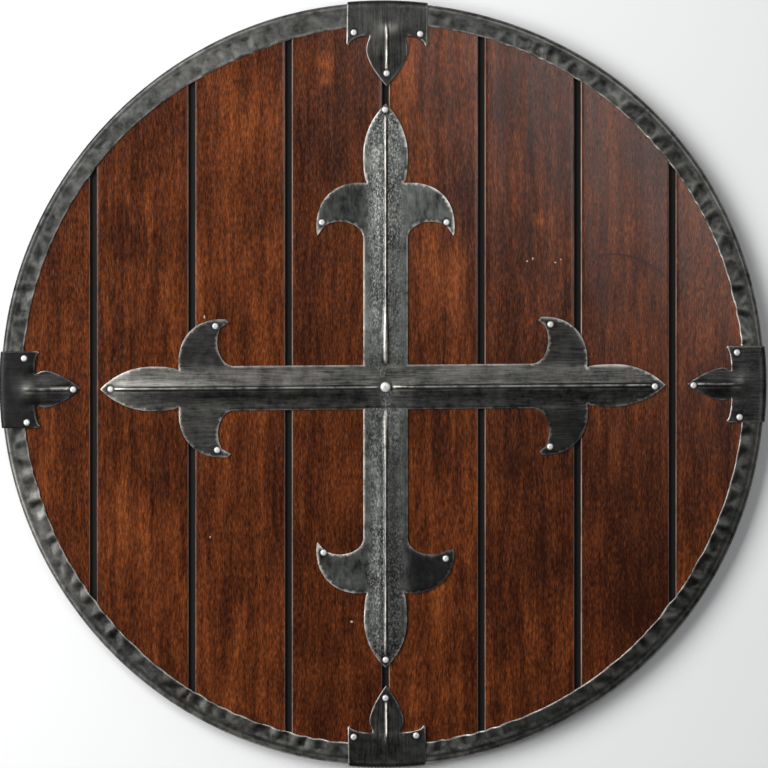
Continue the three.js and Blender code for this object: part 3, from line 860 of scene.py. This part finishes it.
def sheet_piece(name, outline, holes, inner, place, marks, thickness):
    """A blank cut to an outline, counter-clockwise, drilled, and bent to where place puts it.
    place(u, v) gives a point of the outer face and the way the sheet faces there. marks(u, v)
    gives how bright the painted highlight on its crest is, how dark its painted shade and its
    scale are, how pitted it is, how rubbed and lit with painted light it is, and how bright an
    edge would be there."""
    outline = filled_in(outline)
    rings = [
        [(c[0] + HOLE_RADIUS * math.cos(a), c[1] + HOLE_RADIUS * math.sin(a))
         for a in (2 * math.pi * k / HOLE_SIDES for k in range(HOLE_SIDES))]
        for c in holes
    ]
    kept = inside(inner, outline) & (far_from(inner, outline) > EDGE_MARGIN)
    inner = [p for p, keep in zip(inner, kept) if keep]
    inner += inset_rows(outline, FILED_DEPTHS)
    inner = [p for p in inner if all(math.dist(p, c) > HOLE_RADIUS + HOLE_MARGIN for c in holes)]
    points = list(outline)
    edges = [(i, (i + 1) % len(outline)) for i in range(len(outline))]
    for ring in rings:
        begin = len(points)
        points += ring
        edges += [(begin + i, begin + (i + 1) % len(ring)) for i in range(len(ring))]
    points += inner
    flat = [Vector(p) for p in points]
    cut = geometry.delaunay_2d_cdt(flat, edges, [list(range(len(outline)))], 1, 1e-4)
    found = [tuple(p) for p in cut[0]]
    faces = []
    for face in cut[2]:
        middle_point = tuple(sum(found[i][k] for i in face) / len(face) for k in (0, 1))
        if all(math.dist(middle_point, c) > HOLE_RADIUS * 0.96 for c in holes):
            faces.append(tuple(face))
    used = sorted({i for face in faces for i in face})
    renumber = {old: new for new, old in enumerate(used)}
    found = [found[i] for i in used]
    faces = [tuple(renumber[i] for i in face) for face in faces]
    from_edge = far_from(found, outline)
    from_nail = np.min([[math.dist(p, c) for c in holes] for p in found], axis=1)
    count = len(found)
    tops, unders = [], []
    for (u, v), distance in zip(found, from_edge):
        outer, facing = place(u, v)
        drop = filed_drop(distance)
        tops.append(outer - facing * drop)
        unders.append(outer - facing * thickness)
    sides = dict.fromkeys(side for face in faces for side in zip(face, face[1:] + face[:1]))
    border = [(a, b) for a, b in sides if (b, a) not in sides]
    all_faces = faces + [tuple(i + count for i in reversed(face)) for face in faces]
    all_faces += [(b, a, a + count, b + count) for a, b in border]
    mesh = bpy.data.meshes.new(name)
    mesh.from_pydata([p * MM for p in tops + unders], [], all_faces)
    crest_highlight, shade_and_darkening, pitted, rubbed_and_lit, edge_bright = np.array([marks(u, v) for u, v in found]).T
    # Painted shadow: a dark ring round each nail hole, where the head's shadow falls.
    painted_nail_shadow = HALO_DARK * np.clip((HALO_REACH - from_nail) / HALO_FADE, 0, 1)
    filed_and_highlit = np.clip(1.7 * (1 - from_edge / (FILED_REACH + 0.2)), 0, 1) * edge_bright
    plain = np.zeros(count)
    for mark, front, back in (
        ("filed_and_highlit", np.maximum(filed_and_highlit, crest_highlight), np.where(from_edge < 0.01, 0.5, 0.0)),
        ("painted_shade_and_darkening", np.maximum(shade_and_darkening, painted_nail_shadow), plain),
        ("pitted", pitted, plain),
        ("rubbed_and_lit", rubbed_and_lit, plain),
    ):
        values = mesh.attributes.new(mark, "FLOAT", "POINT")
        values.data.foreach_set("value", np.concatenate([front, back]))
    return mesh


ROW_SHARE = 0.866


def both_sides(widths):
    """Places across a crease: the widths to its left, its middle, and the widths to its right."""
    return [-width for width in reversed(widths)] + [0, *widths]


def spread_over(low, high, spacing):
    """Points spread evenly in staggered rows."""
    points = []
    count = int((high[1] - low[1]) / (spacing * ROW_SHARE)) + 1
    for row in range(count):
        v = low[1] + row * spacing * ROW_SHARE
        u = low[0] + (row % 2) * spacing / 2
        while u < high[0]:
            points.append((u, v))
            u += spacing
    return points


def beaten(u, v, seed):
    """The slight unevenness of sheet worked by hand."""
    broad = noise.noise(Vector((u / 16, v / 16, seed)))
    small = noise.noise(Vector((u / 5, v / 5, seed + 9)))
    return 0.16 * broad + 0.05 * small


def eased(value, low, high):
    """0 to 1 between two values, easing in and out."""
    share = min(1.0, max(0.0, (value - low) / (high - low)))
    return share * share * (3 - 2 * share)


def bead_width(end, along):
    """How thick the crease's bead is, against its usual width. It may widen at the crossing."""
    return end["near_bead"] + (1 - end["near_bead"]) * eased(along, 35, 70)


def bar_face(u, v, bar):
    """Height of a bar's face: its creased middle, and its climb over the other bar."""
    end = bar["ends"][0 if u > 0 else 1]
    along = abs(u)
    tip_nail = end["tip"] - 6
    flat_until = bar["flat_until"]
    places = [0, flat_until, flat_until + 4, bar["full_from"]]
    places += [end["shoulder"], end["shoulder"] + LEAF_WIDEST]
    places += [tip_nail - 14, tip_nail - 7, tip_nail - 2, end["tip"] + 2]
    halves = [BAR_HALF_WIDTH] * 4 + [LEAF_BASE + 1, end["leaf_half"], 13.5, 9.5, 7.5, 3]
    ridges = [0, 0, 0.3, 1, 1, 0.9, 0.6, 0.35, 0, 0]
    half = np.interp(along, places, halves)
    ridge = np.interp(along, places, ridges)
    away = abs(v) / half
    slope = max(0.0, 1 - away) ** FLANK_HOLLOW
    thick = bead_width(end, along)
    bead = 0.50 * math.exp(-(v / (0.75 * thick)) ** 2)
    bead -= 0.32 * math.exp(-((abs(v) - 1.9 * thick) / 0.7) ** 2)
    climb = bar["lift"] * (1 - eased(along, BAR_HALF_WIDTH + 1.5, BAR_HALF_WIDTH + 42))
    height = on_wood + BAR_SHEET + climb + ridge * (bar["crease_height"] * slope + bead)
    return height + beaten(u, v, bar["seed"]) * min(1, along / 30) - BAR_SUNK


def bar_mesh(name, bar):
    """A bar lying along X with the crossing at its middle, then turned to its place."""
    ends = bar["ends"]
    outline = bar_end(ends[0], bar["point_across"])
    outline += [(-u, -v) for u, v in bar_end(ends[1], bar["point_across"])]
    centre = Vector((*nail_place("centre_rivet"), 0))
    turned = Matrix.Rotation(math.radians(bar["turn"]), 4, "Z")
    home = turned.inverted()
    nails = bar["nails"] + ["centre_rivet"]
    holes = [tuple((home @ (Vector((*nail_place(n), 0)) - centre)).to_2d()) for n in nails]
    across = both_sides((0.35, 0.8, 1.3, 1.9, 2.6, 3.4))
    crease = [(u * 1.5, v) for u in range(-150, 151) for v in across]
    edges = [(u * 2.0, side * BAR_HALF_WIDTH * 0.97) for u in range(-80, 81) for side in (-1, 1)]
    reach = (230, 58)
    spread = [p for p in spread_over((-reach[0], -reach[1]), reach, 2.3) if abs(p[1]) > 4.6]

    def place(u, v):
        return turned @ Vector((u, v, bar_face(u, v, bar))) + centre, Vector((0, 0, 1))

    def marks(u, v):
        end = ends[0] if u > 0 else ends[1]
        along = abs(u)
        on_ridge = eased(along, bar["flat_until"], bar["flat_until"] + 2.5)
        on_ridge *= 1 - eased(along, end["tip"] - 12, end["tip"] - 8)
        on_leaf = eased(along, end["shoulder"] - 12, end["shoulder"] + 4)
        thick = bead_width(end, along)
        # Painted highlight along the crest, and painted shade on either side of its bead.
        crest_highlight = math.exp(-(v / (0.66 * thick)) ** 4) * on_ridge
        crest_highlight *= end["crest_highlight"] + (1 - end["crest_highlight"]) * on_leaf
        near = (thick - 1) / 0.7
        shade_and_darkening = math.exp(-((abs(v) - 1.5 * thick) / 0.55) ** 2) * on_ridge
        shade_and_darkening *= max(0.35 + 0.5 * on_leaf, near)
        near_ridge = 1 - eased(abs(v), 7, 19)
        pitted = bar["pitting"] * near_ridge * (0.55 + 0.3 * eased(along, 95, 135))
        on_barb = eased(abs(v), BAR_HALF_WIDTH - 5, BAR_HALF_WIDTH + 5)
        counter_clockwise = (v > 0) == (u > 0)
        # Painted shade on the barbs, set for each side. The pit is a real black pit in the scale.
        black = end["black"][0 if counter_clockwise else 1] * on_barb
        if "pit" in end:
            black = max(black, math.exp(-(math.dist((u, v), end["pit"]) / 0.95) ** 4))
        # Painted shade below the ridge along the arm, and a painted highlight above it further out.
        dark = end["shade"] * math.exp(-((v + 5.5) / 3.8) ** 2)
        dark *= eased(along, 12, 60) * (1 - eased(along, 165, 195))
        ridge_highlight = end["ridge_highlight"] * math.exp(-((v - 3.6) / 2.6) ** 2)
        ridge_highlight *= eased(along, 105, 165) * (1 - eased(along, 205, 215))
        # Painted reflection on the leaf, joined with the painted highlight above the ridge.
        rubbed_and_lit = max(end["rubbed_and_lit"] * on_leaf * (1 - on_barb), ridge_highlight)
        return crest_highlight, max(shade_and_darkening, black, dark), pitted, rubbed_and_lit, 0.25 + 0.75 * max(on_barb, 0.7 * on_leaf)

    return sheet_piece(name, outline, holes, crease + edges + spread, place, marks, BAR_SHEET)


# Among each end's sizes, the crest's strength off the leaf, the darkening of each side's barbs, the shade
# below the ridge, the highlight above it and the lightening of the leaf are painted light and shade.
UPRIGHT_ENDS = [
    {
        "shoulder": 160.4, "tip": 222.4, "leaf_half": 17.5,
        "barbs": (119.1, 118.9), "black": (0.4, 0.0), "rubbed_and_lit": 0.0, "crest_highlight": 0.85,
        "near_bead": 1.7, "shade": 0.0, "ridge_highlight": 0.0, "pit": (145.2, 36.7),
    },
    {
        "shoulder": 162.0, "tip": 220.2, "leaf_half": 16.8,
        "barbs": (127.5, 121.9), "black": (0.85, 0.0), "rubbed_and_lit": 0.1, "crest_highlight": 0.4,
        "near_bead": 1.5, "shade": 0.45, "ridge_highlight": 0.0,
    },
]
LEVEL_ENDS = [
    {
        "shoulder": 158.6, "tip": 219.8, "leaf_half": 16.5,
        "barbs": (120.4, 120.3), "black": (0.5, 0.8), "rubbed_and_lit": 0.0, "crest_highlight": 0.8,
        "near_bead": 1.0, "shade": 0.15, "ridge_highlight": 0.1,
    },
    {
        "shoulder": 162.4, "tip": 224.0, "leaf_half": 17.4,
        "barbs": (121.8, 122.8), "black": (0.5, 0.65), "rubbed_and_lit": 0.2, "crest_highlight": 0.8,
        "near_bead": 1.0, "shade": 0.5, "ridge_highlight": 1.0,
    },
]
upright_iron = blackened_iron(
    "upright_bar_iron", (0.026, 0.028, 0.027), (0.155, 0.162, 0.151), (0.003, 0.012, 0.003),
)
level_iron = blackened_iron(
    "level_bar_iron", (0.022, 0.023, 0.023), (0.150, 0.146, 0.134), (0.018, 0.0012, 0.004), 0.95,
)
upright_nails = [
    f"nail_upright_{end}_{place}" for end in ("top", "bottom") for place in ("tip", "left", "right")
]
level_nails = [
    f"nail_level_{end}_{place}" for end in ("right", "left") for place in ("tip", "upper", "lower")
]
BARS = {
    "upright": {
        "ends": UPRIGHT_ENDS, "nails": upright_nails, "turn": 90, "flat_until": 17.5, "full_from": 50.0,
        "lift": 0.0, "crease_height": 2.3, "point_across": 53.4, "pitting": 1.0, "seed": 2.0,
    },
    "level": {
        "ends": LEVEL_ENDS, "nails": level_nails, "turn": 0.45, "flat_until": 4.8, "full_from": 24.0,
        "lift": CROSSING_LIFT, "crease_height": 3.3, "point_across": 51.5, "pitting": 0.12, "seed": 5.0,
    },
}
for (name, sizes), finish in zip(BARS.items(), (upright_iron, level_iron)):
    mesh = bar_mesh(f"{name}_bar", sizes)
    mesh.materials.append(finish)
    shade(mesh, 38)
    bar = shown(f"{name}_bar", mesh)
    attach(bar, "root")
    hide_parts(f"cross_{name}_bar")


# ---------------------------------------------------------------------------------------------
# The four clips: blanks of dark sheet iron folded round the hoop. In front each ends in two
# pointed ears and a creased leaf that steps down off the hoop on to the boards. Three nails
# hold it, one in each ear and one near the leaf's tip.

CLIP_SHEET = 1.2
CLIP_FOLD = 3.0
CLIP_RIDGE = 1.7
CLIP_SHOULDER = 284.0
CLIP_EAR_ROOT = 273.5
CLIP_BACK_END = 272.0
CLIP_SUNK = 0.1
CLIP_CLEAR = 0.03
clip_radius = min(-cad_low.x, -cad_low.y, cad_high.x, cad_high.y) / MM - CLIP_CLEAR
clip_face = HOOP_SHEET + 0.3 + hoop_face
clip_fold_start = clip_radius - CLIP_FOLD
quarter = CLIP_FOLD * math.pi / 2
wall = clip_face - 2 * CLIP_FOLD
clip_blank_end = clip_fold_start + 2 * quarter + wall + clip_fold_start - CLIP_BACK_END


def clip_outline(half, leaf_half, leaf_tip, ear_tip):
    """The blank's outline: its plain folded tail, its two ears and its leaf."""
    base = leaf_half - 2.2
    widest = leaf_tip + 28
    shares = [i / 24 for i in range(25)]
    leaf = [(leaf_half * (1 - share ** 1.6), widest - (widest - leaf_tip) * share) for share in shares]
    right = [
        (half, clip_blank_end),
        (half, ear_tip + 1.2),
        *bow((base, ear_tip), (half - base - 1.6, CLIP_EAR_ROOT - ear_tip), 0, 90),
        (base, CLIP_EAR_ROOT - 1.5),
        (leaf_half - 0.5, (CLIP_EAR_ROOT + widest) / 2 - 1),
        *leaf,
    ]
    left = [(-u, v) for u, v in reversed(right[:-1])]
    return (right + left)[::-1]


def clip_fold(v):
    """Where the blank's outer face runs: radius, height and the way it faces."""
    past = v - clip_fold_start
    back = past - quarter - wall
    if past <= 0:
        return v, clip_face, (0, 0, 1)
    if back > quarter:
        return clip_fold_start - (back - quarter), 0.0, (0, 0, -1)
    if quarter < past and back <= 0:
        return clip_radius, clip_face - CLIP_FOLD - (past - quarter), (0, 1, 0)
    turn = past / CLIP_FOLD if past <= quarter else math.pi / 2 + back / CLIP_FOLD
    height = clip_face - CLIP_FOLD if past <= quarter else CLIP_FOLD
    outwards, up = math.sin(turn), math.cos(turn)
    return clip_fold_start + CLIP_FOLD * outwards, height + CLIP_FOLD * up, (0, outwards, up)


def clip_mesh(name, clip, nails, seed):
    """A clip made at the shield's top and turned round to its place."""
    half, leaf_half, leaf_tip = clip["half"], clip["leaf_half"], clip["leaf_tip"]
    turned = Matrix.Rotation(math.radians(clip["turn"]), 4, "Z")
    home = turned.inverted()
    holes = [tuple((home @ Vector((*nail_place(n), 0))).to_2d()) for n in nails]
    step_top = min(holes[0][1], holes[1][1]) - 3.2
    ridge_end = holes[2][1] + 3.2
    ridge_half = leaf_half * 0.92

    def place(u, v):
        radius, height, facing = clip_fold(v)
        curled = eased(v, CLIP_EAR_ROOT, clip_fold_start)
        y = radius + (math.sqrt(radius ** 2 - u ** 2) - radius) * curled
        facing = Vector((facing[1] * u / radius, facing[1], facing[2]))
        facing.normalize()
        if v < clip_fold_start:
            on_leaf = 1 - eased(abs(u), leaf_half - 3, leaf_half + 3)
            ear_step = 0.35 * (1 - eased(v, step_top - 6, step_top))
            leaf_step = 1 - eased(v, step_top - 8, CLIP_SHOULDER - 0.5)
            height -= (HOOP_SHEET + 0.3) * (ear_step + (leaf_step - ear_step) * on_leaf)
            strength = eased(v, ridge_end - 4, ridge_end + 20)
            strength *= 1 - eased(v, CLIP_EAR_ROOT + 1, CLIP_SHOULDER + 10)
            away = abs(u) / ridge_half
            slope = max(0.0, 1 - away) if away < 0.9 else 0.1 * math.exp(-(away - 0.9) * 10)
            bead = 0.40 * math.exp(-(u / 0.8) ** 2) - 0.25 * math.exp(-((abs(u) - 2.0) / 0.7) ** 2)
            bead *= eased(v, ridge_end - 2, ridge_end + 2) * (1 - eased(v, CLIP_EAR_ROOT + 2, CLIP_SHOULDER))
            height += strength * CLIP_RIDGE * slope + bead
            height += beaten(u, v, seed) * (1 - eased(v, clip_fold_start - 6, clip_fold_start)) - CLIP_SUNK
        return turned @ Vector((u, y, height)), (turned @ facing).normalized()

    folds = []
    v = CLIP_SHOULDER
    count = round(2 * half / 2.4)
    while v < clip_blank_end:
        past = v - clip_fold_start
        in_fold = -0.4 < past < quarter + 0.4 or -0.4 < past - quarter - wall < quarter + 0.4
        folds += [(half * (2 * i / count - 1), v) for i in range(1, count)]
        v += 0.6 if in_fold else 2.2
    across = both_sides((0.7, 1.3, 2.0, 2.6, 3.4))
    crease = [(u, CLIP_SHOULDER - 1.5 * row) for row in range(1, 34) for u in across]
    spread = spread_over((-half, leaf_tip), (half, CLIP_SHOULDER - 1), 1.9)
    spread = [p for p in spread if abs(p[0]) > 4.4]
    outline = clip_outline(half, leaf_half, leaf_tip, clip["ear_tip"])

    def marks(u, v):
        on_ridge = eased(v, ridge_end - 2, ridge_end + 1)
        on_ridge *= 1 - eased(v, CLIP_EAR_ROOT - 1, CLIP_EAR_ROOT + 4)
        # Painted highlight along the crest, and painted shade on either side of its bead.
        crest_highlight = 0.95 * math.exp(-(u / clip["ridge_width"]) ** 4) * on_ridge
        fold_line = 0.16 * math.exp(-((v - clip_fold_start + 0.6) / 0.6) ** 2)
        shade_and_darkening = 0.6 * math.exp(-((abs(u) - 1.6) / 0.55) ** 2) * on_ridge
        on_body = eased(v, CLIP_EAR_ROOT - 4, CLIP_EAR_ROOT + 3)
        # Darker ears, a darker body and a lighter patch on the shoulder, set clip by clip.
        black = 0.25 * (1 - on_body) + clip["body_darkening"] * on_body
        rubbed_and_lit = clip["shoulder_lightening"] * math.exp(-((v - CLIP_EAR_ROOT - 5) / 4.5) ** 2 - (u / 6.5) ** 2)
        on_ear = eased(abs(u), leaf_half, leaf_half + 2) * (1 - eased(v, CLIP_EAR_ROOT, CLIP_EAR_ROOT + 3))
        black = max(shade_and_darkening, black * (1 - rubbed_and_lit)) * (1 - crest_highlight)
        return max(crest_highlight, fold_line), black, 0.05, rubbed_and_lit, 0.35 + 0.4 * on_ear

    return sheet_piece(name, outline, holes, folds + crease + spread, place, marks, CLIP_SHEET)


upright_clip_iron = blackened_iron(
    "upright_clip_iron", (0.016, 0.016, 0.0155), (0.078, 0.078, 0.073), (0.0016, 0.030, 0.006), 1.1,
)
level_clip_iron = blackened_iron(
    "level_clip_iron", (0.012, 0.012, 0.012), (0.060, 0.061, 0.059), (0.030, 0.0016, 0.006), 1.1,
)
CLIP_KEYS = (
    "turn", "half", "leaf_half", "leaf_tip", "ear_tip", "body_darkening", "shoulder_lightening", "ridge_width", "finish",
)
CLIPS = {
    "top": (-0.68, 31.7, 16.2, 233.9, 265.5, 0.15, 0.8, 0.75, upright_clip_iron),
    "left": (90.88, 30.1, 14.5, 237.2, 269.5, 0.8, 0.95, 1.2, level_clip_iron),
    "bottom": (180.61, 30.4, 13.4, 236.7, 268.0, 0.0, 0.1, 0.7, upright_clip_iron),
    "right": (270.0, 30.0, 13.0, 239.2, 269.5, 0.0, 0.3, 0.7, level_clip_iron),
}
for order, (side, values) in enumerate(CLIPS.items()):
    sizes = dict(zip(CLIP_KEYS, values))
    nails = [f"nail_clip_{side}_{place}" for place in ("first", "second", "leaf")]
    mesh = clip_mesh(f"{side}_clip", sizes, nails, 11.0 + order)
    mesh.materials.append(sizes["finish"])
    shade(mesh, 38)
    clip = shown(f"{side}_clip", mesh)
    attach(clip, "root")
    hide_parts(f"clip_{side}")


# ---------------------------------------------------------------------------------------------
# The nails and the rivet: bright steel with low domed heads, each hit a little differently by
# the hammer, which leaves a small flat or dimple on top. Their shanks go down into the boards.


def driven_nails_tree(sizes):
    """A domed head and its shank at each given point, tipped and dressed by chance."""
    tree = bpy.data.node_groups.new("driven_nails", "GeometryNodeTree")
    given, result, keys = named_inputs(tree, sizes)
    size = given.outputs
    ball = node(tree, "GeometryNodeMeshUVSphere", {"Segments": 24, "Rings": 16, "Radius": 1.0})
    x, y, z = split(node(tree, "GeometryNodeInputPosition").outputs[0])
    out = x * x + y * y
    dimple = worked(tree, "EXPONENT", out * -14.0)
    top = (z.over(0.0) * size["Dome height"] - dimple * size["Dimple"]).over(0.0)
    # Painted shade round the rim of each head, where it meets the wood, and in its dimple.
    head_shade = out.between(0.55, 0.92, 0.0, 0.85).over(dimple * 0.55)
    head_shaded = node(tree, "GeometryNodeStoreNamedAttribute", {
        "Geometry": ball.outputs[0], "Name": "painted_head_shade", "Value": head_shade,
    })
    shaped = node(tree, "GeometryNodeSetPosition", {
        "Geometry": head_shaded.outputs[0],
        "Position": joined(tree, x * size["Head radius"], y * size["Head radius"], top),
    })
    shank = node(tree, "GeometryNodeMeshCylinder", {
        "Vertices": 12, "Radius": size["Shank radius"], "Depth": size["Shank length"],
    })
    sunk = joined(tree, z=Amount(size["Shank length"]) * -0.48)
    lowered = node(tree, "GeometryNodeTransform", {"Geometry": shank.outputs[0], "Translation": sunk})
    whole = node(tree, "GeometryNodeJoinGeometry", {0: shaped.outputs[0]})
    tree.links.new(lowered.outputs[0], whole.inputs[0])
    tip = node(tree, "FunctionNodeRandomValue", {
        0: (-0.06, -0.06, 0.0), 1: (0.06, 0.06, 6.28), "Seed": size["Seed"],
    }, data_type="FLOAT_VECTOR")
    placed = node(tree, "GeometryNodeInstanceOnPoints", {
        "Points": size["Geometry"], "Instance": whole.outputs[0], "Rotation": tip.outputs[0],
    })
    real = node(tree, "GeometryNodeRealizeInstances", {"Geometry": placed.outputs[0]})
    rough = node(tree, "ShaderNodeTexNoise", {"Scale": 650.0, "Detail": 1.0}).outputs["Color"]
    centred = moved_by(rough, (0.5, 0.5, 0.5), "SUBTRACT")
    dressed = node(tree, "ShaderNodeVectorMath", {0: centred, "Scale": size["Dressing"]}, operation="SCALE")
    beaten_heads = node(tree, "GeometryNodeSetPosition", {
        "Geometry": real.outputs[0], "Offset": dressed.outputs[0],
    })
    faced = node(tree, "GeometryNodeSetMaterial", {
        "Geometry": beaten_heads.outputs[0], "Material": size["Finish"],
    })
    tree.links.new(faced.outputs[0], result.inputs[0])
    return tree, keys


# The colour of the painted shade on the nail heads.
HEAD_SHADE_DARK = (0.05, 0.046, 0.04)


def nail_steel(name):
    """Bright steel, dulled and scuffed by handling, with painted shade round the rim of each head and in its
    dimple.
    """
    steel, tree, shader = new_finish(name)
    place = node(tree, "ShaderNodeTexCoord").outputs["Object"]
    dull = grain(place, (0.0012, 0.0012, 0.0012), 3.0, 0.6)
    colour = blended(dull.between(0.35, 0.7), (0.92, 0.91, 0.88), (0.66, 0.66, 0.64))
    colour = blended(mark_on(tree, "painted_head_shade"), colour, HEAD_SHADE_DARK)
    shader.inputs["Metallic"].default_value = 0.5
    finish_surface(shader, colour, dull.between(0.3, 0.7, 0.38, 0.55), dull, 0.3, 0.08 * MM)
    return steel


steel = nail_steel("bright_nail_steel")
NAIL_SIZES = {
    "Head radius": 2.7 * MM,
    "Dome height": 1.6 * MM,
    "Dimple": 0.28 * MM,
    "Shank radius": 1.0 * MM,
    "Shank length": 8.5 * MM,
    "Dressing": 0.22 * MM,
    "Seed": 3,
    "Finish": steel,
}
RIVET_SIZES = {
    **NAIL_SIZES,
    "Head radius": 4.4 * MM,
    "Dome height": 2.4 * MM,
    "Dimple": 0.25 * MM,
    "Shank radius": 1.2 * MM,
    "Shank length": 9.5 * MM,
    "Seed": 8,
}
clip_nails = [f"nail_clip_{side}_{place}" for side in CLIPS for place in ("first", "second", "leaf")]
HEAD_SUNK = 0.15 * MM
FASTENINGS = (
    ("driven_nails", upright_nails + level_nails + clip_nails, NAIL_SIZES),
    ("crossing_rivet", ["centre_rivet"], RIVET_SIZES),
)
for name, nodes, sizes in FASTENINGS:
    under_heads = []
    for node_name in nodes:
        low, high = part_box(node_name)
        foot = high.z - sizes["Dome height"] - HEAD_SUNK
        under_heads.append(((low.x + high.x) / 2, (low.y + high.y) / 2, foot))
    points = bpy.data.meshes.new(f"{name}_points")
    points.from_pydata(under_heads, [], [])
    tree, keys = driven_nails_tree(sizes)
    heads = run_tree(name, points, tree, keys, sizes)
    shade(heads.data, 40)
    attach(heads, "root")
    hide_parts(*nodes)
